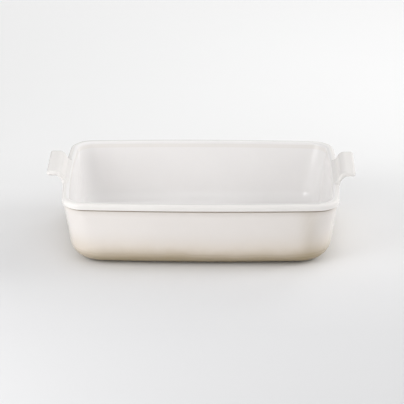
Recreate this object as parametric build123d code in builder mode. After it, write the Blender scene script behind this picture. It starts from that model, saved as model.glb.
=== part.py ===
from build123d import *
import os
from math import cos, radians, sin, tan

# A glazed stoneware lasagna dish: a round-cornered trough with leaning, slightly swelling
# walls, a thick rolled rim over a shadow groove, a wave-shaped lug at each end and a low
# ring of bare clay that it stands on.
# Millimetres. The origin lies on the table under the middle of the dish, +X runs along
# the dish towards the right-hand lug, +Y to the back and +Z up.

os.makedirs("parts", exist_ok=True)

# The rim sets the overall size of the dish
rim_length = 346.0
rim_breadth = 245.0
rim_height = 86.0
rim_corner_radius = 30.0

# Each side swells between its corners by this much
side_bow = 5.0
end_bow = 4.6

# The rolled band round the mouth, which overhangs the wall below it
wall_thickness = 6.4
band_overhang = 2.0
band_height = 7.8
band_outer_round = 3.9
band_inner_round = 3.6
band_lip_bevel = 0.8

# The shadow groove that undercuts the band
groove_depth = 1.0
groove_height = 1.5

# The leaning wall outside, and the cove where it turns under the dish
wall_draft = 7.6
wall_corner_radius = 36.0
cove_radius = 24.5

# The hollow
floor_thickness = 7.0
inside_draft = 8.4
inside_corner_radius = 26.0
inside_cove_radius = 19.0

# The bare ring underneath
foot_height = 1.5
foot_width = 7.0
foot_setback = 1.0
foot_edge_bevel = 0.5

# The lugs: a slab of even thickness that climbs out of the band and levels out
lug_width = 80.0
lug_thickness = 5.8
lug_reach = 19.4
lug_lift = 13.6
lug_root_inset = 3.8
lug_slope = 60.0
lug_crest_bend = 7.0
lug_edge_round = 2.6
lug_blend = 4.5
lug_joint_standoff = 0.5

# The curve of a cove, or of the rim, is drawn in this many straight steps
cove_steps = 6
rim_steps = 4

# Worked out from the sizes above
band_width = wall_thickness + band_overhang
wall_top = rim_height - band_height
floor_top = foot_height + floor_thickness
rim_end = rim_length / 2
lug_joint = rim_end + lug_joint_standoff


def bowed_outline(inset, corner_radius):
    """The outline of the dish moved in by inset: four slack arcs with rounded corners."""
    half_length = rim_length / 2 - inset
    half_breadth = rim_breadth / 2 - inset
    corner_x = half_length - end_bow
    corner_y = half_breadth - side_bow
    with BuildSketch() as outline:
        with BuildLine():
            ThreePointArc((-corner_x, -corner_y), (0, -half_breadth), (corner_x, -corner_y))
            ThreePointArc((corner_x, -corner_y), (half_length, 0), (corner_x, corner_y))
            ThreePointArc((corner_x, corner_y), (0, half_breadth), (-corner_x, corner_y))
            ThreePointArc((-corner_x, corner_y), (-half_length, 0), (-corner_x, -corner_y))
        make_face()
        fillet(outline.vertices(), corner_radius)
    return outline.sketch


def trough_levels(bottom, top, top_inset, draft, cove, corner_radius):
    """Levels of a trough, as (height, inset, corner radius): round its cove and up its wall."""
    turn = radians(90 - draft)
    cove_top = bottom + cove * (1 - cos(turn))
    cove_inset = top_inset + (top - cove_top) * tan(radians(draft))
    levels = []
    for step in range(cove_steps + 1):
        angle = turn * step / cove_steps
        inward = cove * (sin(turn) - sin(angle))
        levels.append((bottom + cove * (1 - cos(angle)), cove_inset + inward, corner_radius - inward))
    levels.append((top, top_inset, corner_radius))
    return levels


def crest_levels(crest, crest_inset, draft, rounding, corner_radius):
    """Levels of a rounded crest, as (height, inset, corner radius), from its wall to its flat."""
    turn = radians(90 - draft)
    levels = []
    for step in range(rim_steps + 1):
        angle = turn * (1 - step / rim_steps)
        outward = rounding * (sin(turn) - sin(angle))
        inset = crest_inset + rounding * sin(angle)
        levels.append((crest - rounding * (1 - cos(angle)), inset, corner_radius + outward))
    return levels


# The space inside the dish, taken out of the wall and of the band alike. At the mouth it
# spreads over the round of the band.
crest_inset = band_width - band_inner_round * tan(radians(90 - inside_draft) / 2)
crest = crest_levels(rim_height, crest_inset, inside_draft, band_inner_round, inside_corner_radius)
mouth_height, mouth_inset, mouth_corner_radius = crest[0]
trough = trough_levels(
    floor_top, mouth_height, mouth_inset, inside_draft, inside_cove_radius, mouth_corner_radius
)
with BuildPart() as hollow:
    for height, inset, corner_radius in trough + crest[1:]:
        with BuildSketch(Plane.XY.offset(height)):
            add(bowed_outline(inset, corner_radius))
    loft(ruled=True)

# The body: floor and walls in one, up to the underside of the band, with the groove
# under the band cut round its top
body_levels = trough_levels(
    foot_height, wall_top, band_overhang, wall_draft, cove_radius, wall_corner_radius
)
with BuildPart() as dish_body:
    for height, inset, corner_radius in body_levels:
        with BuildSketch(Plane.XY.offset(height)):
            add(bowed_outline(inset, corner_radius))
    loft(ruled=True)
    with BuildSketch(Plane.XY.offset(wall_top - groove_height)):
        add(bowed_outline(0, rim_corner_radius))
        add(
            bowed_outline(band_overhang + groove_depth, wall_corner_radius - groove_depth),
            mode=Mode.SUBTRACT,
        )
    extrude(amount=groove_height, mode=Mode.SUBTRACT)
    add(hollow.part, mode=Mode.SUBTRACT)

# The foot ring, a little way in from the edge of the flat under the dish
flat_height, flat_inset, flat_corner_radius = body_levels[0]
foot_inset = flat_inset + foot_setback
foot_corner_radius = flat_corner_radius - foot_setback
with BuildPart() as foot_ring:
    with BuildSketch():
        add(bowed_outline(foot_inset, foot_corner_radius))
        add(
            bowed_outline(foot_inset + foot_width, foot_corner_radius - foot_width),
            mode=Mode.SUBTRACT,
        )
    extrude(amount=flat_height)
    chamfer(foot_ring.edges().group_by(Axis.Z)[0], foot_edge_bevel)

# A lug by itself: its slab starts in the heart of the band, climbs, bends and levels out
root_x = rim_end - lug_root_inset
root_z = wall_top + band_height / 2
crest_z = rim_height + lug_lift - lug_thickness / 2
crest_x = root_x + (crest_z - root_z) / tan(radians(lug_slope))
with BuildPart() as lug:
    with BuildSketch(Plane.XZ):
        with BuildLine():
            FilletPolyline(
                (root_x, root_z),
                (crest_x, crest_z),
                (rim_end + lug_reach, crest_z),
                radius=lug_crest_bend,
            )
        trace(line_width=lug_thickness)
    extrude(amount=lug_width / 2, both=True)
    root = lug.faces().sort_by(Axis.X)[0]
    bends = lug.edges().filter_by(Axis.Y).sort_by(Axis.X)[:-2]
    fillet(lug.edges() - bends - root.edges(), lug_edge_round)

# The rolled band with both lugs drawn smoothly out of it
with BuildPart() as rim:
    with BuildSketch(Plane.XY.offset(wall_top)):
        add(bowed_outline(0, rim_corner_radius))
    extrude(amount=band_height)
    fillet(rim.edges().group_by(Axis.Z)[-1], band_outer_round)
    chamfer(rim.edges().group_by(Axis.Z)[0], band_lip_bevel)
    add(hollow.part, mode=Mode.SUBTRACT)
    add(lug.part)
    fillet(rim.edges(Select.NEW), lug_blend)
    mirror(lug.part, about=Plane.YZ)
    fillet(rim.edges(Select.NEW), lug_blend)

# The joints between band and lugs are flat and upright, just outside the band
right_joint = Plane.YZ.offset(lug_joint)
left_joint = Plane.YZ.offset(-lug_joint)
with BuildPart() as handle_right:
    add(rim.part)
    split(bisect_by=right_joint, keep=Keep.TOP)
with BuildPart() as handle_left:
    add(rim.part)
    split(bisect_by=left_joint, keep=Keep.BOTTOM)
with BuildPart() as rim_band:
    add(rim.part)
    split(bisect_by=right_joint, keep=Keep.BOTTOM)
    split(bisect_by=left_joint, keep=Keep.TOP)

pieces = {
    "dish_body": dish_body,
    "rim_band": rim_band,
    "handle_left": handle_left,
    "handle_right": handle_right,
    "foot_ring": foot_ring,
}
for name, piece in pieces.items():
    piece.part.label = name
    export_step(piece.part, f"parts/{name}.step")
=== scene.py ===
from math import cos, hypot, pi, radians, sin, tan

import bpy
import numpy as np
from bpy.props import FloatProperty, FloatVectorProperty, PointerProperty
from bpy.types import Operator, Panel, PropertyGroup
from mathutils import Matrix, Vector


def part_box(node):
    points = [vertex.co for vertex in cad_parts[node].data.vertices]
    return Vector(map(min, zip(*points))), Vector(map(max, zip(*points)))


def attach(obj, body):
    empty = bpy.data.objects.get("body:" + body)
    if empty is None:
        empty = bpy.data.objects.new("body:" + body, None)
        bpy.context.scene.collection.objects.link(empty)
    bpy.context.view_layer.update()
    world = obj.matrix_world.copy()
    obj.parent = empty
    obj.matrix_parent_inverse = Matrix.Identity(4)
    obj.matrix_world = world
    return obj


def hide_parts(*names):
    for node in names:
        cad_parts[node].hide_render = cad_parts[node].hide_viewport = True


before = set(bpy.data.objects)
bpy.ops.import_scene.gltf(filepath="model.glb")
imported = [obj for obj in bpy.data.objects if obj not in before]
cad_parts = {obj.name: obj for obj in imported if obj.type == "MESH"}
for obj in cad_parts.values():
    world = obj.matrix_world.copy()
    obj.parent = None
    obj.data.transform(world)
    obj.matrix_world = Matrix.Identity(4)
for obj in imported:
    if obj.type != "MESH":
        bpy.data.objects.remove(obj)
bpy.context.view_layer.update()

bl_info = {
    "name": "Lasagna Dish",
    "version": (1, 0, 0),
    "blender": (4, 5, 0),
    "location": "3D View > Sidebar > Dish",
    "description": "Models a glazed stoneware lasagna dish and the studio it stands in",
    "category": "Add Mesh",
}

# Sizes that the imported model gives: the foot's height, the band's breadth, the lugs' top and tips
foot_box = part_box("foot_ring")
band_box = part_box("rim_band")
lug_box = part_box("handle_right")


def length(name, description, default):
    """A size in metres."""
    return FloatProperty(name=name, description=description, default=default, unit="LENGTH", precision=5)


def angle(name, description, degrees):
    """An angle, kept in radians."""
    return FloatProperty(name=name, description=description, default=radians(degrees), unit="ROTATION")


def share(name, description, default):
    """A plain number."""
    return FloatProperty(name=name, description=description, default=default, precision=4)


def colour(name, description, red, green, blue):
    """A colour, given as the screen shows it (sRGB, 0 to 255) and kept linear."""
    linear = [((part / 255 + 0.055) / 1.055) ** 2.4 for part in (red, green, blue)]
    return FloatVectorProperty(
        name=name, description=description, default=(*linear, 1.0), size=4, subtype="COLOR", min=0, max=1
    )


class DishSizes(PropertyGroup):
    """Sizes of the dish, as potted."""

    rim_length: length("Rim length", "Length of the band, outside", 0.346)
    rim_breadth: length("Rim breadth", "Breadth of the band, outside", band_box[1].y - band_box[0].y)
    rim_height: length("Rim height", "Height of the crest over the table", 0.086)
    rim_corner: length("Rim corner", "Corner radius of the band, outside", 0.0295)
    side_bow: length("Side bow", "Swell of each long side between its corners", 0.005)
    end_bow: length("End bow", "Swell of each end between its corners", 0.0046)
    wall: length("Wall", "Thickness of the wall at the band", 0.0064)
    overhang: length("Overhang", "How far the band stands out from the wall", 0.002)
    band_height: length("Band height", "Height of the band", 0.0078)
    outer_round: length("Outer round", "Radius of the band's outer top edge", 0.0033)
    inner_round: length("Inner round", "Radius of the band's inner top edge", 0.0036)
    lip_round: length("Lip round", "Radius of the band's lower edge", 0.0009)
    groove_depth: length("Groove depth", "Depth of the shadow groove under the band", 0.001)
    groove_height: length("Groove height", "Height of the shadow groove", 0.0015)
    wall_draft: angle("Wall draft", "Lean of the wall outside", 7.6)
    wall_corner: length("Wall corner", "Corner radius of the wall just under the band", 0.0285)
    cove_corner: length("Cove corner", "Corner radius of the wall where the cove starts", 0.041)
    cove: length("Cove", "Radius of the turn from the wall to the underside", 0.0245)
    inside_draft: angle("Inside draft", "Lean of the wall inside", 8.4)
    mouth_corner: length("Mouth corner", "Corner radius of the hollow at the mouth", 0.0225)
    floor_corner: length("Floor corner", "Corner radius of the hollow above its cove", 0.030)
    inside_cove: length("Inside cove", "Radius of the turn from the wall to the floor inside", 0.019)
    floor: length("Floor", "Thickness of the floor", 0.007)
    floor_sag: length("Floor sag", "How far the floor dips towards its middle", 0.0004)
    foot_height: length("Foot height", "Height of the bare ring", foot_box[1].z)
    foot_width: length("Foot width", "Width of the bare ring", 0.007)
    foot_setback: length("Foot setback", "Step in from the flat's edge to the ring", 0.001)
    foot_round: length("Foot round", "Radius of the ring's edges", 0.0006)
    # Where the painted shade on the front right-hand corner and the painted light on the front left-hand
    # corner lie
    shade_streak_place: length("Thin place", "How far right of the middle the glaze lies thinnest", 0.134)
    shade_streak_width: length("Thin width", "Half the width of the thin place", 0.0105)
    lit_corner_place: length("Thick place", "How far left of the middle the glaze lies thickest", 0.158)
    lug_width: length("Lug width", "Width of a lug", 0.080)
    lug_thickness: length("Lug thickness", "Thickness of a lug", 0.0058)
    lug_waist: length("Lug waist", "How much thinner a lug is underneath where it leaves the band", 0.0020)
    lug_root: length("Lug root", "How far in from the band's outside the middle of a lug starts", 0.0038)
    lug_top: length("Lug top", "Height of a lug's top over the table", lug_box[1].z)
    lug_tip: length("Lug tip", "How far a lug's tip lies from the middle", lug_box[1].x)
    lug_slope: angle("Lug slope", "Slope of the lug where it leaves the band", 60.0)
    lug_bend: length("Lug bend", "Radius of the bend at the lug's crest", 0.007)
    lug_corner: length("Lug corner", "Corner radius of the lug's tip, from above", 0.0035)
    lug_edge: length("Lug edge", "Rounding of the lug's edges", 0.0027)
    lug_blend: length("Lug blend", "Reach of the soft join between lug and band", 0.005)


class DishColours(PropertyGroup):
    """Colours and glaze values of the dish."""

    cream: colour("Cream", "The glaze outside, where it lies thick", 235, 230, 226)
    lining: colour("Lining", "The glaze inside the dish", 240, 238, 237)
    rim: colour("Rim", "The glaze of the band and the lugs", 236, 233, 230)
    warm: colour("Warm cream", "The glaze low on the wall", 221, 209, 193)
    biscuit: colour("Biscuit", "The glaze round the foot, where it runs thin", 168, 152, 122)
    # the groove's colour: glaze pooling, darkened further as painted shade under the band
    pooled_and_shaded: colour("Pooled", "The glaze that gathers in the groove", 146, 124, 94)
    clay: colour("Clay", "The bare clay of the foot", 190, 172, 144)
    gloss: share("Gloss", "Roughness of the glaze", 0.14)


class StudioSettings(PropertyGroup):
    """The floor, the lamps and the camera."""

    # the floor's colour goes from near to far as painted light, brighter towards the back
    floor_near: colour("Floor, near", "The floor before the dish", 225, 225, 226)
    floor_far: colour("Floor, far", "The floor behind the dish", 243, 243, 243)
    azimuth: angle("Azimuth", "The camera's turn round the dish, from straight in front", 0.7)
    elevation: angle("Elevation", "The camera's height as an angle", 20.9)
    distance: length("Distance", "The camera's distance from the point it looks at", 3.10314)
    focal_pixels: share("Focal length", "The camera's focal length in pixels of the picture", 2448.44)
    picture_pixels: share("Picture", "Width of the picture in pixels", 404)
    aim_height: length("Aim height", "Height of the point that the camera looks at", 0.0414)
    aim_right: length("Aim right", "How far right of that point the camera is turned", 0.00076)
    aim_up: length("Aim up", "How far above that point the camera is turned", 0.00303)
    key: share("Key lamp", "Power of the lamp on the right, in watts", 3.45)
    rear: share("Rear lamp", "Power of the lamp behind the dish on the right, in watts", 1.9)
    fill: share("Fill lamp", "Power of the lamp before the dish on the right, in watts", 1.6)
    side: share("Side lamp", "Power of the lamp low on the left, in watts", 4.7)
    front: share("Front lamp", "Power of the broad lamp above the camera, in watts", 6.35)
    back: share("Back lamp", "Power of the broad lamp behind the dish, in watts", 2.7)
    strip: share("Strip lamp", "Power of the tall narrow lamp on the left, in watts", 1.75)
    sky: share("Sky", "Strength of the light from all round", 0.495)
    backdrop: share("Backdrop", "Glow of the far floor for the camera, for each metre further back", 0.25)


# Drawing: outlines, rings and skins

# Points in a quarter of an outline: along its end, round its corner and along its side
end_points = 14
corner_points = 16
side_points = 24

# Steps round the curves of a profile, and up a wall
cove_steps = 16
wall_steps = 6
crest_steps = 9
lip_steps = 5
top_steps = 11

# Two faces that meet at more than this many degrees have a sharp edge between them
crease_angle = 48


def corner_circle(half_length, half_breadth, sizes, radius):
    """Centre and radius of the slack arcs of end and side, and the centre of the corner between them."""
    corner_x = half_length - sizes.end_bow
    corner_y = half_breadth - sizes.side_bow
    end_radius = (corner_y**2 + sizes.end_bow**2) / (2 * sizes.end_bow)
    side_radius = (corner_x**2 + sizes.side_bow**2) / (2 * sizes.side_bow)
    end_x = half_length - end_radius
    side_y = half_breadth - side_radius
    # the corner's centre lies on a circle about each slack arc's centre
    reach_end, reach_side = end_radius - radius, side_radius - radius
    span = hypot(end_x, side_y)
    along = (reach_end**2 - reach_side**2 + span**2) / (2 * span)
    across = (reach_end**2 - along**2) ** 0.5
    towards = np.array((-end_x, side_y)) / span
    aside = np.array((-towards[1], towards[0]))
    centre = np.array((end_x, 0.0)) + towards * along + aside * across
    other = np.array((end_x, 0.0)) + towards * along - aside * across
    centre = centre if centre.sum() > other.sum() else other
    return (end_x, end_radius), (side_y, side_radius), centre


def outline(inset, radius, sizes):
    """Points round the dish at an inset from the band, the same number in each stretch."""
    half_length = sizes.rim_length / 2 - inset
    half_breadth = sizes.rim_breadth / 2 - inset
    end, side, centre = corner_circle(half_length, half_breadth, sizes, radius)
    end_x, end_radius = end
    side_y, side_radius = side
    end_turn = np.arctan2(centre[1], centre[0] - end_x)
    side_turn = np.arctan2(centre[0], centre[1] - side_y)
    points = []
    for turn in np.linspace(0, end_turn, end_points, endpoint=False):
        points.append((end_x + end_radius * cos(turn), end_radius * sin(turn)))
    for turn in np.linspace(end_turn, pi / 2 - side_turn, corner_points, endpoint=False):
        points.append((centre[0] + radius * cos(turn), centre[1] + radius * sin(turn)))
    for turn in np.linspace(side_turn, 0, side_points):
        points.append((side_radius * sin(turn), side_y + side_radius * cos(turn)))
    quarter = np.array(points)
    back = quarter * (-1, 1)
    half = np.vstack((quarter, back[-2::-1]))
    front = half * (1, -1)
    return np.vstack((half, front[-2:0:-1]))


def level(height, inset, radius, sizes):
    """A ring of points of the dish at one height."""
    ring = outline(inset, radius, sizes)
    return np.column_stack((ring, np.full(len(ring), height)))


def skin(name, rings, closed=False, cap_first=False, cap_last=False, paints=None):
    """A mesh over a stack of rings, with a fan over an end ring that is capped. paints holds, by attribute
    name, one number for each ring."""
    count = len(rings[0])
    points = np.vstack(rings)
    faces = []
    pairs = list(zip(range(len(rings) - 1), range(1, len(rings))))
    if closed:
        pairs.append((len(rings) - 1, 0))
    for low, high in pairs:
        for spot in range(count):
            following = (spot + 1) % count
            first = (low * count + spot, low * count + following)
            faces.append((*first, high * count + following, high * count + spot))
    values = {key: np.repeat(value, count) for key, value in (paints or {}).items()}
    for capped, base, turned in ((cap_first, 0, True), (cap_last, (len(rings) - 1) * count, False)):
        if capped:
            middle = len(points)
            points = np.vstack((points, points[base:base + count].mean(axis=0)))
            values = {key: np.append(value, value[base]) for key, value in values.items()}
            for spot in range(count):
                following = (spot + 1) % count
                edge = (base + following, base + spot) if turned else (base + spot, base + following)
                faces.append((*edge, middle))
    return make_piece(name, points, faces, values)


def make_piece(name, points, faces, values=None):
    """A smooth-shaded object, with sharp edges where two faces meet at more than crease_angle."""
    mesh = bpy.data.meshes.new(name)
    mesh.from_pydata(np.asarray(points).tolist(), [], [list(map(int, face)) for face in faces])
    mesh.validate()
    mesh.shade_smooth()
    mesh.set_sharp_from_angle(angle=radians(crease_angle))
    for key, value in (values or {}).items():
        mesh.attributes.new(key, "FLOAT", "POINT").data.foreach_set("value", np.asarray(value, np.float32))
    piece = bpy.data.objects.new(name, mesh)
    bpy.context.scene.collection.objects.link(piece)
    return piece


def arc(centre, radius, start, end, steps):
    """Points of an arc in a profile, as (height, inset), with angles in degrees from level outwards."""
    turns = np.radians(np.linspace(start, end, steps + 1))
    return [(centre[0] + radius * sin(turn), centre[1] - radius * cos(turn)) for turn in turns]


def wall_inset(height, top, top_inset, draft):
    """Inset of a leaning wall at a height."""
    return top_inset + (top - height) * tan(draft)


# Profiles of the dish, as lists of (height, inset, corner radius)

# The soft foot of the groove, as shares of its depth: rise, step inwards and cut off the corner radius
groove_curve = ((-0.45, 0.045, 0), (0, 0.2025, 0), (0.36, 0.8, 1))
# How far under the band the groove is fully deep, and how far in the band's underside starts, likewise
groove_full = 0.27
groove_hidden = 1.6


def cove_profile(bottom, top, top_inset, draft, cove, low_corner, high_corner):
    """A trough's flat edge, its cove and its wall up to top."""
    turn = pi / 2 - draft
    cove_top = bottom + cove * (1 - cos(turn))
    cove_inset = wall_inset(cove_top, top, top_inset, draft)
    profile = []
    for step in range(cove_steps + 1):
        at = turn * step / cove_steps
        inward = cove * (sin(turn) - sin(at))
        profile.append((bottom + cove * (1 - cos(at)), cove_inset + inward, low_corner - inward))
    for step in range(1, wall_steps + 1):
        along = step / wall_steps
        height = cove_top + (top - cove_top) * along
        corner = low_corner + (high_corner - low_corner) * along
        profile.append((height, wall_inset(height, top, top_inset, draft), corner))
    return profile


def crest_edge(sizes):
    """Inset of the line on the crest where it starts to round down into the hollow."""
    return sizes.wall + sizes.overhang - sizes.inner_round * tan((pi / 2 - sizes.inside_draft) / 2)


def hollow_profile(sizes):
    """The hollow in two stretches: up the body from the edge of the floor, and up the band to its crest."""
    lean = sizes.inside_draft
    turn = pi / 2 - lean
    mouth_height = sizes.rim_height - sizes.inner_round * (1 - cos(turn))
    mouth_inset = crest_edge(sizes) + sizes.inner_round * sin(turn)
    joint = sizes.rim_height - sizes.band_height
    joint_inset = wall_inset(joint, mouth_height, mouth_inset, lean)
    floor_top = sizes.foot_height + sizes.floor
    low = cove_profile(
        floor_top, joint, joint_inset, lean, sizes.inside_cove, sizes.floor_corner, sizes.mouth_corner
    )
    high = [(mouth_height, mouth_inset, sizes.mouth_corner)]
    for step in range(1, crest_steps + 1):
        at = turn * (1 - step / crest_steps)
        inset = crest_edge(sizes) + sizes.inner_round * sin(at)
        corner = sizes.mouth_corner + mouth_inset - inset
        high.append((sizes.rim_height - sizes.inner_round * (1 - cos(at)), inset, corner))
    return low, high


def body_profile(sizes):
    """The outside of the body from the flat underneath up to the band, with the groove."""
    joint, corner = sizes.rim_height - sizes.band_height, sizes.wall_corner
    profile = cove_profile(
        sizes.foot_height, joint, sizes.overhang, sizes.wall_draft, sizes.cove, sizes.cove_corner, corner
    )[:-1]
    foot, depth = joint - sizes.groove_height, sizes.groove_depth
    edge = wall_inset(foot, joint, sizes.overhang, sizes.wall_draft)
    for rise, inward, cut in groove_curve:
        profile.append((foot + depth * rise, edge + depth * inward, corner - depth * cut))
    for drop in (groove_full, 0):
        profile.append((joint - depth * drop, edge + depth, corner - depth))
    return profile


def band_profile(sizes):
    """The outside of the band, from its underside at the groove to the crest."""
    joint = sizes.rim_height - sizes.band_height
    lip, top = sizes.lip_round, sizes.outer_round
    crest = sizes.rim_height
    points = [(joint, sizes.overhang + sizes.groove_depth * groove_hidden)]
    points += arc((joint + lip, lip), lip, -90, 0, lip_steps)
    points += arc((crest - top, top), top, 0, 90, top_steps)
    return [(height, inset, sizes.rim_corner - inset) for height, inset in points]


# Materials

# How far the edge of the glaze's fade wanders, and how high its two tones reach as shares of the dish
fade_wander = 0.012
warm_reach = 0.66
biscuit_reach = 0.4
# How much rougher the glaze is where it runs thin, and how much darker its slow drifts of tone go
thin_roughness = 0.25
tone_drift = 0.02

# Places of the colour sockets of a mix node, whose names its other sockets share
mix_first = 6
mix_second = 7
mix_result = 2


def group_socket(group, name, kind, direction="INPUT", default=None):
    """Gives a node group a named socket."""
    socket = group.interface.new_socket(name=name, in_out=direction, socket_type=kind)
    if default is not None:
        socket.default_value = default


def node(tree, kind, place, **settings):
    """A node with its settings; what names an input is put on that input."""
    made = tree.nodes.new(kind)
    made.location = place
    for key, value in settings.items():
        if hasattr(made, key):
            setattr(made, key, value)
        else:
            made.inputs[key.replace("_", " ")].default_value = value
    return made


def glaze_group():
    """Colour, roughness and surface of a glaze that runs thin towards the foot and gathers in the groove,
    with painted shade in the groove and painted shade and light on the front corners.
    """
    found = bpy.data.node_groups.get("running_glaze")
    if found:
        return found
    group = bpy.data.node_groups.new("running_glaze", "ShaderNodeTree")
    for name in ("Cream", "Warm", "Biscuit", "Pooled"):
        group_socket(group, name, "NodeSocketColor")
    group_socket(group, "Warm Height", "NodeSocketFloat", default=0.05)
    group_socket(group, "Biscuit Height", "NodeSocketFloat", default=0.02)
    group_socket(group, "Gloss", "NodeSocketFloat", default=0.15)
    group_socket(group, "Mottle", "NodeSocketFloat", default=0.02)
    group_socket(group, "Color", "NodeSocketColor", "OUTPUT")
    group_socket(group, "Roughness", "NodeSocketFloat", "OUTPUT")
    group_socket(group, "Height", "NodeSocketFloat", "OUTPUT")
    inside = node(group, "NodeGroupInput", (-1200, 0))
    outside = node(group, "NodeGroupOutput", (900, 0))
    link = group.links.new
    place = node(group, "ShaderNodeTexCoord", (-1200, 400))
    parts = node(group, "ShaderNodeSeparateXYZ", (-1000, 400))
    link(place.outputs["Object"], parts.inputs[0])

    # the fade's edge wanders a little
    wander = node(group, "ShaderNodeTexNoise", (-1000, 200), Scale=22.0, Detail=3.0)
    link(place.outputs["Object"], wander.inputs["Vector"])
    drift = node(group, "ShaderNodeMath", (-800, 200), operation="MULTIPLY_ADD")
    link(wander.outputs[0], drift.inputs[0])
    drift.inputs[1].default_value = fade_wander
    drift.inputs[2].default_value = -fade_wander / 2
    height = node(group, "ShaderNodeMath", (-600, 300), operation="ADD")
    link(parts.outputs["Z"], height.inputs[0])
    link(drift.outputs[0], height.inputs[1])

    def fade(top_socket, place):
        """1 at the table, 0 above the named height, and smooth between."""
        ramp = node(group, "ShaderNodeMapRange", place, interpolation_type="SMOOTHERSTEP")
        link(height.outputs[0], ramp.inputs["Value"])
        link(inside.outputs[top_socket], ramp.inputs["From Max"])
        ramp.inputs["From Min"].default_value = 0.0
        ramp.inputs["To Min"].default_value = 1.0
        ramp.inputs["To Max"].default_value = 0.0
        return ramp

    def blend(first, second, factor, place_x):
        """The first colour, turned into the second where the factor is 1."""
        mix = node(group, "ShaderNodeMix", (place_x, 0), data_type="RGBA")
        link(first, mix.inputs[mix_first])
        link(second, mix.inputs[mix_second])
        link(factor, mix.inputs["Factor"])
        return mix.outputs[mix_result]

    warm = fade("Warm Height", (-400, 300))
    biscuit = fade("Biscuit Height", (-400, 0))
    # painted shade and light on the front corners, added to the biscuit fade
    thin = node(group, "ShaderNodeAttribute", (-400, -200), attribute_name="thinning")
    bare = node(group, "ShaderNodeMath", (-200, -100), operation="ADD", use_clamp=True)
    link(biscuit.outputs[0], bare.inputs[0])
    link(thin.outputs["Fac"], bare.inputs[1])
    tone = blend(inside.outputs["Cream"], inside.outputs["Warm"], warm.outputs[0], -150)
    tone = blend(tone, inside.outputs["Biscuit"], bare.outputs[0], 50)
    # glaze pooling in the groove, darkened further as painted shade under the band
    pool_and_shade_mask = node(group, "ShaderNodeAttribute", (-150, -300), attribute_name="pooling")
    tone = blend(tone, inside.outputs["Pooled"], pool_and_shade_mask.outputs["Fac"], 250)

    # slow drifts of tone, as in any fired glaze
    cloud = node(group, "ShaderNodeTexNoise", (-200, -600), Scale=14.0, Detail=4.0, Roughness=0.6)
    link(place.outputs["Object"], cloud.inputs["Vector"])
    shade = node(group, "ShaderNodeMapRange", (50, -600))
    link(cloud.outputs[0], shade.inputs["Value"])
    shade.inputs["From Min"].default_value = 0.3
    shade.inputs["From Max"].default_value = 0.7
    darker = node(group, "ShaderNodeMath", (50, -850), operation="SUBTRACT")
    darker.inputs[0].default_value = 1.0
    link(inside.outputs["Mottle"], darker.inputs[1])
    link(darker.outputs[0], shade.inputs["To Min"])
    shade.inputs["To Max"].default_value = 1.0
    tint = node(group, "ShaderNodeVectorMath", (500, 0), operation="SCALE")
    link(tone, tint.inputs[0])
    link(shade.outputs[0], tint.inputs["Scale"])
    link(tint.outputs[0], outside.inputs["Color"])

    # gloss is duller where the glaze is thin
    dull = node(group, "ShaderNodeMath", (500, -250), operation="MULTIPLY_ADD")
    link(biscuit.outputs[0], dull.inputs[0])
    dull.inputs[1].default_value = thin_roughness
    link(inside.outputs["Gloss"], dull.inputs[2])
    link(dull.outputs[0], outside.inputs["Roughness"])

    # the faint waviness of a dipped glaze
    wave = node(group, "ShaderNodeTexNoise", (200, -450), Scale=90.0, Detail=2.0)
    link(place.outputs["Object"], wave.inputs["Vector"])
    link(wave.outputs[0], outside.inputs["Height"])
    return group


def new_material(name):
    """A material with a bare Principled shader."""
    material = bpy.data.materials.new(name)
    material.use_nodes = True
    return material, material.node_tree, material.node_tree.nodes["Principled BSDF"]


def glaze_material(name, colours, base, warm_height, biscuit_height, mottle):
    """Glossy glaze over stoneware, with its own heights for the fade."""
    material, tree, shader = new_material(name)
    glaze = node(tree, "ShaderNodeGroup", (-500, 0), node_tree=glaze_group())
    for socket, value in (
        ("Cream", base),
        ("Warm", colours.warm),
        ("Biscuit", colours.biscuit),
        ("Pooled", colours.pooled_and_shaded),
        ("Warm Height", warm_height),
        ("Biscuit Height", biscuit_height),
        ("Gloss", colours.gloss),
        ("Mottle", mottle),
    ):
        glaze.inputs[socket].default_value = value
    bump = node(tree, "ShaderNodeBump", (-250, -250), Strength=0.25, Distance=0.0004)
    tree.links.new(glaze.outputs["Color"], shader.inputs["Base Color"])
    tree.links.new(glaze.outputs["Roughness"], shader.inputs["Roughness"])
    tree.links.new(glaze.outputs["Height"], bump.inputs["Height"])
    tree.links.new(bump.outputs[0], shader.inputs["Normal"])
    shader.inputs["IOR"].default_value = 1.5
    return material


def clay_material(colours):
    """Bare ground stoneware: buff, matt and finely gritty."""
    material, tree, shader = new_material("bare_clay")
    place = node(tree, "ShaderNodeTexCoord", (-1000, 0))
    grit = node(tree, "ShaderNodeTexNoise", (-800, 0), Scale=900.0, Detail=4.0)
    blot = node(tree, "ShaderNodeTexNoise", (-800, -300), Scale=60.0, Detail=3.0)
    tree.links.new(place.outputs["Object"], grit.inputs["Vector"])
    tree.links.new(place.outputs["Object"], blot.inputs["Vector"])
    shade = node(tree, "ShaderNodeMapRange", (-600, -300), To_Min=0.82, To_Max=1.08)
    tree.links.new(blot.outputs[0], shade.inputs["Value"])
    tint = node(tree, "ShaderNodeVectorMath", (-350, 0), operation="SCALE")
    tint.inputs[0].default_value = colours.clay[:3]
    tree.links.new(shade.outputs[0], tint.inputs["Scale"])
    tree.links.new(tint.outputs[0], shader.inputs["Base Color"])
    bump = node(tree, "ShaderNodeBump", (-250, -300), Strength=0.5, Distance=0.0003)
    tree.links.new(grit.outputs[0], bump.inputs["Height"])
    tree.links.new(bump.outputs[0], shader.inputs["Normal"])
    shader.inputs["Roughness"].default_value = 0.85
    return material


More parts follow.
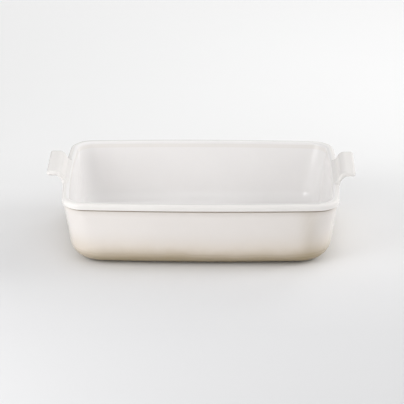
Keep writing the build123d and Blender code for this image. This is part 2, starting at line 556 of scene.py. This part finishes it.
def dish_material(name):
    """A material of the dish by name, made when it is first asked for."""
    found = bpy.data.materials.get(name)
    if found:
        return found
    colours = bpy.context.scene.dish_colours
    sizes = bpy.context.scene.dish_sizes
    if name == "bare_clay":
        return clay_material(colours)
    # a fade that ends inside the foot ring's height isn't seen on the glaze
    no_fade = sizes.foot_height / 10
    looks = {
        "glaze_outside": (colours.cream, sizes.rim_height * warm_reach, sizes.rim_height * biscuit_reach),
        "glaze_inside": (colours.lining, no_fade, no_fade),
        "glaze_band": (colours.rim, no_fade, no_fade),
    }
    return glaze_material(name, colours, *looks[name], tone_drift)


def place_piece(piece, node_name, slot_name, *materials):
    """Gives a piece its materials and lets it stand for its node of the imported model."""
    for material in materials:
        piece.data.materials.append(dish_material(material))
    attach(piece, "root")
    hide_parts(node_name)


# Lugs: a bent slab and the band are joined softly as one field of distances, whose surface is meshed

# How fast a lug thickens underneath as it leaves the band: below 1, mostly near its root
waist_power = 0.7
# How far the rounding of a lug's edges stops short of half its thickness
edge_clearance = 0.0001
# How tight the soft join gets at the band's lower edge, as a share of its reach
tightest_join = 0.02
# The cells of the field, and how far in from the band's outside they start
cell = 0.0009
cells_inside = 0.012
# Points are moved onto the surface in a few rounds, with slopes taken over a share of a cell. Where the
# field is flat, its slope squared counts as this much at least
settle_rounds = 6
slope_share = 50
least_slope = 0.2
# A lug's mesh is kept where it stands out of the band by this much, and over the band's inner half only
# down to this far under the crest
proud_of_band = 0.00002
under_crest = 0.0005


def slab_distance(x, y, z, sizes):
    """Signed distance to the bent slab of the right-hand lug."""
    thick = sizes.lug_thickness
    root = np.array((sizes.rim_length / 2 - sizes.lug_root, sizes.rim_height - sizes.band_height / 2))
    crest_z = sizes.lug_top - thick / 2
    rise = crest_z - root[1]
    climb = np.array((cos(sizes.lug_slope), sin(sizes.lug_slope)))
    crest = root + climb * rise / climb[1]
    cut = sizes.lug_bend * tan(sizes.lug_slope / 2)
    bend_start = crest - climb * cut
    bend_end = crest[0] + cut
    centre = (bend_end, crest_z - sizes.lug_bend)
    slope_length = hypot(*(bend_start - root))
    bend_length = sizes.lug_bend * sizes.lug_slope
    # how far along the slab a point lies, and how far off its middle surface
    on_slope = (x - bend_start[0]) * climb[0] + (z - bend_start[1]) * climb[1] < 0
    on_flat = x > bend_end
    away = np.hypot(x - centre[0], z - centre[1])
    turned = np.arctan2(centre[0] - x, z - centre[1])
    along = np.where(
        on_slope,
        (x - root[0]) * climb[0] + (z - root[1]) * climb[1],
        np.where(
            on_flat,
            slope_length + bend_length + x - bend_end,
            slope_length + bend_length - sizes.lug_bend * turned,
        ),
    )
    off = np.where(
        on_slope,
        (z - root[1]) * climb[0] - (x - root[0]) * climb[1],
        np.where(on_flat, z - crest_z, away - sizes.lug_bend),
    )
    full = slope_length + bend_length + sizes.lug_tip - bend_end
    beyond = along - (full - sizes.lug_corner)
    aside = np.abs(y) - (sizes.lug_width / 2 - sizes.lug_corner)
    plan = np.hypot(np.maximum(beyond, 0), np.maximum(aside, 0)) - sizes.lug_corner
    plan += np.minimum(np.maximum(beyond, aside), 0)
    # underneath, the slab is thinner towards its root
    waist = sizes.lug_waist * np.clip(1 - along / slope_length, 0, 1) ** waist_power
    edge = np.minimum(sizes.lug_edge, (thick - waist) / 2 - edge_clearance)
    over = np.abs(off - waist / 2) - ((thick - waist) / 2 - edge)
    around = plan + edge
    distance = np.hypot(np.maximum(over, 0), np.maximum(around, 0)) - edge
    return distance + np.minimum(np.maximum(over, around), 0)


def band_distance(x, y, z, sizes):
    """Signed distance to the band at the right-hand end, as a rolled section that runs on downwards."""
    half_length, half_breadth = sizes.rim_length / 2, sizes.rim_breadth / 2
    (end_x, end_radius), _, _ = corner_circle(half_length, half_breadth, sizes, sizes.rim_corner)
    inset = end_radius - np.hypot(x - end_x, y)
    drop = sizes.rim_height - z
    outer, inner = sizes.outer_round, sizes.inner_round
    width = crest_edge(sizes) + inner
    outside_half = inset < width / 2
    radius = np.where(outside_half, outer, inner)
    sideways = np.where(outside_half, -inset, inset - width) + radius
    upwards = radius - drop
    rounded = np.hypot(np.maximum(sideways, 0), np.maximum(upwards, 0)) - radius
    return rounded + np.minimum(np.maximum(sideways, upwards), 0)


def joined_distance(x, y, z, sizes):
    """The two fields joined softly; the join tightens towards the band's lower edge."""
    slab, band = slab_distance(x, y, z, sizes), band_distance(x, y, z, sizes)
    lip = sizes.rim_height - sizes.band_height + sizes.lip_round
    room = np.clip((z - lip) / (sizes.band_height / 2), tightest_join, 1)
    reach = sizes.lug_blend * room
    nearness = np.maximum(reach - np.abs(slab - band), 0) / reach
    return np.minimum(slab, band) - nearness**2 * reach / 4


def field_surface(field, low, high, step):
    """Quads over the zero surface of a field: one point in each cell that it crosses, moved onto it."""
    axes = [np.arange(a, b + step, step) for a, b in zip(low, high)]
    grid = np.meshgrid(*axes, indexing="ij")
    solid = field(*grid) < 0
    cells = np.zeros([n - 1 for n in solid.shape], int)
    corners = [(i, j, k) for i in (0, 1) for j in (0, 1) for k in (0, 1)]
    for i, j, k in corners:
        cells += solid[i:i + cells.shape[0], j:j + cells.shape[1], k:k + cells.shape[2]]
    mixed = (cells > 0) & (cells < len(corners))
    number = np.full(cells.shape, -1)
    number[mixed] = np.arange(mixed.sum())
    spots = np.argwhere(mixed)
    points = np.array(low) + (spots + 0.5) * step
    quads = []
    for axis in range(3):
        here = np.moveaxis(solid, axis, 0)
        crossing = here[:-1] != here[1:]
        ahead = here[1:] & ~here[:-1]
        numbers = np.moveaxis(number, axis, 0)
        found = np.argwhere(crossing[:, 1:-1, 1:-1]) + (0, 1, 1)
        for a, b, c in found:
            quad = [numbers[a, b - 1, c - 1], numbers[a, b, c - 1], numbers[a, b, c], numbers[a, b - 1, c]]
            flip = ahead[a, b, c] != (axis == 1)
            quads.append(quad[::-1] if flip else quad)
    tiny = step / slope_share
    for _ in range(settle_rounds):
        value = field(*points.T)
        slope = np.stack(
            [
                (field(*(points + offset).T) - field(*(points - offset).T)) / (2 * tiny)
                for offset in np.eye(3) * tiny
            ],
            axis=1,
        )
        steepness = np.maximum((slope**2).sum(axis=1), least_slope)
        move = slope * (value / steepness)[:, None]
        points -= np.clip(move, -step, step)
    return points, np.array(quads)


def lug_mesh(sizes):
    """Points and faces of the right-hand lug, down to where it meets the band."""
    reach = sizes.lug_width / 2 + sizes.lug_blend * 2
    low = (sizes.rim_length / 2 - cells_inside, -reach - cell / 2, sizes.rim_height - sizes.band_height)
    high = (sizes.lug_tip + 2 * cell, reach, sizes.lug_top + 2 * cell)

    def field(x, y, z):
        return joined_distance(x, y, z, sizes)

    points, quads = field_surface(field, low, high, cell)
    middle = sizes.rim_length / 2 - (sizes.wall + sizes.overhang) / 2
    above = points[:, 2] > sizes.rim_height - under_crest
    proud = (band_distance(*points.T, sizes) > proud_of_band) & ((points[:, 0] > middle) | above)
    quads = quads[proud[quads].all(axis=1)]
    used, quads = np.unique(quads, return_inverse=True)
    points, quads = points[used], quads.reshape(-1, 4)
    return points, quads


# Operators: one for each piece, and one for the studio

# Steps inwards to the rings under the flat, and the least corner radius that they keep
underside_steps = (0.04, 0.02)
least_corner = 0.004
# Steps inwards to the rings of the inner floor, each with its share of the sag
floor_steps = ((0.012, 0.12), (0.030, 0.45), (0.055, 0.8))
# How much of the pooled glaze, darkened further as painted shade under the band, lies on the rings of the
# groove, and on the band's lowest rings
groove_pool_and_shade = (0.15, 0.5, 1.0, 1.0, 1.0)
band_pool_and_shade = (1.0, 0.9, 0.5, 0.2)
# The middle point of a rounded edge, as a share of its radius from each face
round_middle = 0.3

# Painted shade down the start of the front right-hand corner: a streak, and a drift so many times as broad.
# The drift weakens up the wall, and would be gone at this share of the dish's height
shade_streak_strength = 0.2
shade_drift_strength = 0.11
drift_spread = 4
drift_top = 1.3
# Painted light round the other corner, which lowers its biscuit fade, so many times as broad as the streak
lit_corner_strength = 0.45
corner_spread = 2


def swell(points, place, width):
    """1 at a place along the dish, falling off smoothly to both sides over a width."""
    return np.exp(-(((points[:, 0] - place) / width) ** 2))


def painted_corner_shade_and_light(points, sizes):
    """How far the body is painted towards the biscuit colour beyond its fade: painted shade down the start
    of the front right-hand corner, painted light round the front left-hand one."""
    low = np.clip(drift_top - points[:, 2] / sizes.rim_height, 0, 1)
    # painted shade: a darker streak and drift down the front right-hand corner
    streak = shade_streak_strength * swell(points, sizes.shade_streak_place, sizes.shade_streak_width)
    drift = shade_drift_strength * low * swell(points, sizes.shade_streak_place, drift_spread * sizes.shade_streak_width)
    # painted light: the front left-hand corner is kept lighter
    thick = lit_corner_strength * swell(points, -sizes.lit_corner_place, corner_spread * sizes.shade_streak_width)
    # it fades out towards the middle of each end, and the back has none
    front = np.clip(-points[:, 1] / (sizes.rim_breadth / 4), 0, 1)
    return (front * (streak + drift - thick)).astype(np.float32)


def line_from(piece, per_ring, first_ring):
    """Gives the faces of a skin from one of its rings onwards the second material, the lining."""
    for face in piece.data.polygons:
        face.material_index = int(min(face.vertices) // per_ring >= first_ring)


class DISH_OT_body(Operator):
    """Models the body: floor and leaning walls in one, with its coves and its groove"""

    bl_idname = "dish.body"
    bl_label = "Body"

    def execute(self, context):
        sizes = context.scene.dish_sizes
        outside = body_profile(sizes)
        hollow, _ = hollow_profile(sizes)
        height, inset, corner = outside[0]
        rings = []
        for inward in underside_steps:
            rings.append(level(height, inset + inward, max(corner - inward, least_corner), sizes))
        rings += [level(*spot, sizes) for spot in outside]
        groove = len(rings)
        rings += [level(*spot, sizes) for spot in reversed(hollow)]
        height, inset, corner = hollow[0]
        for inward, sag in floor_steps:
            rings.append(level(height - sizes.floor_sag * sag, inset + inward, corner, sizes))
        # the groove carries pooled glaze and painted shade
        pooling = np.zeros(len(rings))
        pooling[groove - len(groove_pool_and_shade):groove] = groove_pool_and_shade
        piece = skin("body", rings, cap_first=True, cap_last=True, paints={"pooling": pooling})
        per_ring = len(rings[0])
        # painted shade and light on the front corners of the body
        thinning = painted_corner_shade_and_light(np.array([vertex.co for vertex in piece.data.vertices]), sizes)
        # the lining gets none of the painted shade and light
        thinning[groove * per_ring:] = 0
        piece.data.attributes.new("thinning", "FLOAT", "POINT").data.foreach_set("value", thinning)
        place_piece(piece, "dish_body", "glaze", "glaze_outside", "glaze_inside")
        line_from(piece, per_ring, groove - 1)
        return {"FINISHED"}


class DISH_OT_band(Operator):
    """Models the rolled band round the mouth"""

    bl_idname = "dish.band"
    bl_label = "Rolled band"

    def execute(self, context):
        sizes = context.scene.dish_sizes
        hollow, inside = hollow_profile(sizes)
        outside = band_profile(sizes)
        # once round the section, from the hollow's edge at the joint
        rings = [level(*spot, sizes) for spot in [hollow[-1]] + outside + inside[::-1]]
        # the band's underside carries pooled glaze and painted shade
        pooling = np.zeros(len(rings))
        pooling[1:1 + len(band_pool_and_shade)] = band_pool_and_shade
        piece = skin("band", rings, closed=True, paints={"pooling": pooling})
        place_piece(piece, "rim_band", "glaze", "glaze_band", "glaze_inside")
        line_from(piece, len(rings[0]), 1 + len(outside))
        return {"FINISHED"}


class DISH_OT_lugs(Operator):
    """Models both lugs, each flowing out of the band in a soft join"""

    bl_idname = "dish.lugs"
    bl_label = "Lugs"

    def execute(self, context):
        sizes = context.scene.dish_sizes
        points, quads = lug_mesh(sizes)
        for side, name in ((1, "right"), (-1, "left")):
            turned = quads if side > 0 else quads[:, ::-1]
            piece = make_piece(f"lug_{name}", points * (side, 1, 1), turned)
            place_piece(piece, f"handle_{name}", "glaze", "glaze_band")
        return {"FINISHED"}


class DISH_OT_foot(Operator):
    """Models the bare ring that the dish stands on"""

    bl_idname = "dish.foot"
    bl_label = "Foot ring"

    def execute(self, context):
        sizes = context.scene.dish_sizes
        top, edge, corner = body_profile(sizes)[0]
        near, far = edge + sizes.foot_setback, edge + sizes.foot_setback + sizes.foot_width
        soft, mid = sizes.foot_round, sizes.foot_round * round_middle
        section = [(top, far), (soft, far), (mid, far - mid), (0, far - soft)]
        section += [(0, near + soft), (mid, near + mid), (soft, near), (top, near)]
        rings = [level(height, inset, corner - (inset - edge), sizes) for height, inset in section]
        piece = skin("foot", rings, closed=True)
        place_piece(piece, "foot_ring", "bare_clay", "bare_clay")
        return {"FINISHED"}


# The lamps, each as the name of its power, place, width, height, spread in degrees, and whether it is
# seen in reflections. They all face the dish
lamps = (
    ("key", (1.75, 0.2, 0.9), 1.1, 0.9, 80, False),
    ("rear", (1.0, 1.4, 0.9), 1.1, 0.9, 80, False),
    ("side", (-0.85, -0.6, 0.45), 0.9, 0.8, 180, True),
    ("front", (0, -1.45, 1.75), 2.6, 1.9, 180, True),
    ("back", (0, 2.0, 0.95), 3.0, 1.4, 180, True),
    ("fill", (1.2, -1.0, 0.8), 1.2, 1.0, 180, True),
    ("strip", (-0.76, -0.86, 0.52), 0.06, 1.05, 180, True),
)
dish_middle = (0, 0, 0.05)

# The floor's corners. Its colour is painted brighter from this far before the dish to as far behind it, as
# painted light, and it glows for the camera from another distance behind it
floor_corners = [(-4, -3, 0), (4, -3, 0), (4, 5, 0), (-4, 5, 0)]
floor_ramp = 0.3
glow_start = 0.2


def aim(thing, place, target):
    """Puts a lamp or the camera at a place and turns it to a target."""
    thing.location = place
    thing.rotation_euler = (Vector(target) - Vector(place)).to_track_quat("-Z", "Y").to_euler()


def lamp(name, place, width, height, spread, mirrored, power):
    """A soft rectangular lamp that faces the dish."""
    data = bpy.data.lights.new(name, "AREA")
    data.shape = "RECTANGLE"
    data.size = width
    data.size_y = height
    data.spread = radians(spread)
    data.energy = power
    thing = bpy.data.objects.new(name, data)
    bpy.context.scene.collection.objects.link(thing)
    aim(thing, place, dish_middle)
    thing.visible_glossy = mirrored


class DISH_OT_studio(Operator):
    """Sets the pale floor, the soft lamps and the camera"""

    bl_idname = "dish.studio"
    bl_label = "Studio"

    def execute(self, context):
        scene, studio = context.scene, context.scene.dish_studio
        floor = make_piece("floor", floor_corners, [range(4)])
        floor.data.materials.append(floor_material(studio))

        world = bpy.data.worlds.new("room")
        world.use_nodes = True
        sky = world.node_tree.nodes["Background"]
        sky.inputs["Color"].default_value = (1, 1, 1, 1)
        sky.inputs["Strength"].default_value = studio.sky
        scene.world = world

        for settings in lamps:
            lamp(*settings, getattr(studio, settings[0]))

        data = bpy.data.cameras.new("camera")
        data.sensor_width = 36.0
        data.lens = studio.focal_pixels / studio.picture_pixels * data.sensor_width
        data.clip_end = 30
        camera = bpy.data.objects.new("camera", data)
        scene.collection.objects.link(camera)
        turn, rise = studio.azimuth, studio.elevation
        back = Vector((sin(turn) * cos(rise), -cos(turn) * cos(rise), sin(rise)))
        right = Vector((cos(turn), sin(turn), 0))
        up = back.cross(right)
        target = Vector((0, 0, studio.aim_height))
        aim(camera, target + back * studio.distance, target + right * studio.aim_right + up * studio.aim_up)
        scene.camera = camera
        scene.view_settings.view_transform = "Standard"
        return {"FINISHED"}


def floor_material(studio):
    """The pale floor, painted a little brighter towards the back as painted light."""
    material, tree, shader = new_material("floor")
    place = node(tree, "ShaderNodeTexCoord", (-900, 0))
    parts = node(tree, "ShaderNodeSeparateXYZ", (-700, 0))
    tree.links.new(place.outputs["Object"], parts.inputs[0])
    ramp = node(tree, "ShaderNodeMapRange", (-500, 0))
    ramp.inputs["From Min"].default_value = -floor_ramp
    ramp.inputs["From Max"].default_value = floor_ramp
    tree.links.new(parts.outputs["Y"], ramp.inputs["Value"])
    mix = node(tree, "ShaderNodeMix", (-250, 0), data_type="RGBA")
    tree.links.new(ramp.outputs[0], mix.inputs["Factor"])
    mix.inputs[mix_first].default_value = studio.floor_near
    mix.inputs[mix_second].default_value = studio.floor_far
    tree.links.new(mix.outputs[mix_result], shader.inputs["Base Color"])
    shader.inputs["Roughness"].default_value = 0.9
    shader.inputs["Specular IOR Level"].default_value = 0.1
    # far behind the dish, out of the lamps' reach, the floor glows for the camera alone
    behind = node(tree, "ShaderNodeMath", (-500, -300), operation="SUBTRACT", use_clamp=True)
    tree.links.new(parts.outputs["Y"], behind.inputs[0])
    behind.inputs[1].default_value = glow_start
    glow = node(tree, "ShaderNodeMath", (-300, -300), operation="MULTIPLY")
    tree.links.new(behind.outputs[0], glow.inputs[0])
    glow.inputs[1].default_value = studio.backdrop
    seen = node(tree, "ShaderNodeLightPath", (-500, -500))
    shown = node(tree, "ShaderNodeMath", (-100, -300), operation="MULTIPLY")
    tree.links.new(glow.outputs[0], shown.inputs[0])
    tree.links.new(seen.outputs["Is Camera Ray"], shown.inputs[1])
    shader.inputs["Emission Color"].default_value = (1, 1, 1, 1)
    tree.links.new(shown.outputs[0], shader.inputs["Emission Strength"])
    return material


class DISH_PT_panel(Panel):
    """The dish's steps and sizes"""

    bl_idname = "DISH_PT_panel"
    bl_label = "Lasagna dish"
    bl_space_type = "VIEW_3D"
    bl_region_type = "UI"
    bl_category = "Dish"

    def draw(self, context):
        for operator in piece_operators:
            self.layout.operator(operator.bl_idname)
        for group in (context.scene.dish_sizes, context.scene.dish_colours, context.scene.dish_studio):
            box = self.layout.box()
            for key in group.bl_rna.properties.keys():
                if key not in ("rna_type", "name"):
                    box.prop(group, key)


property_groups = {"dish_sizes": DishSizes, "dish_colours": DishColours, "dish_studio": StudioSettings}
piece_operators = (DISH_OT_body, DISH_OT_band, DISH_OT_lugs, DISH_OT_foot, DISH_OT_studio)


def register():
    for name, group in property_groups.items():
        bpy.utils.register_class(group)
        setattr(bpy.types.Scene, name, PointerProperty(type=group))
    for operator in piece_operators:
        bpy.utils.register_class(operator)
    bpy.utils.register_class(DISH_PT_panel)


def unregister():
    bpy.utils.unregister_class(DISH_PT_panel)
    for operator in reversed(piece_operators):
        bpy.utils.unregister_class(operator)
    for name, group in property_groups.items():
        delattr(bpy.types.Scene, name)
        bpy.utils.unregister_class(group)


def main():
    register()
    steps = bpy.ops.dish
    for step in (steps.body, steps.band, steps.lugs, steps.foot, steps.studio):
        step()


if __name__ == "__main__":
    main()
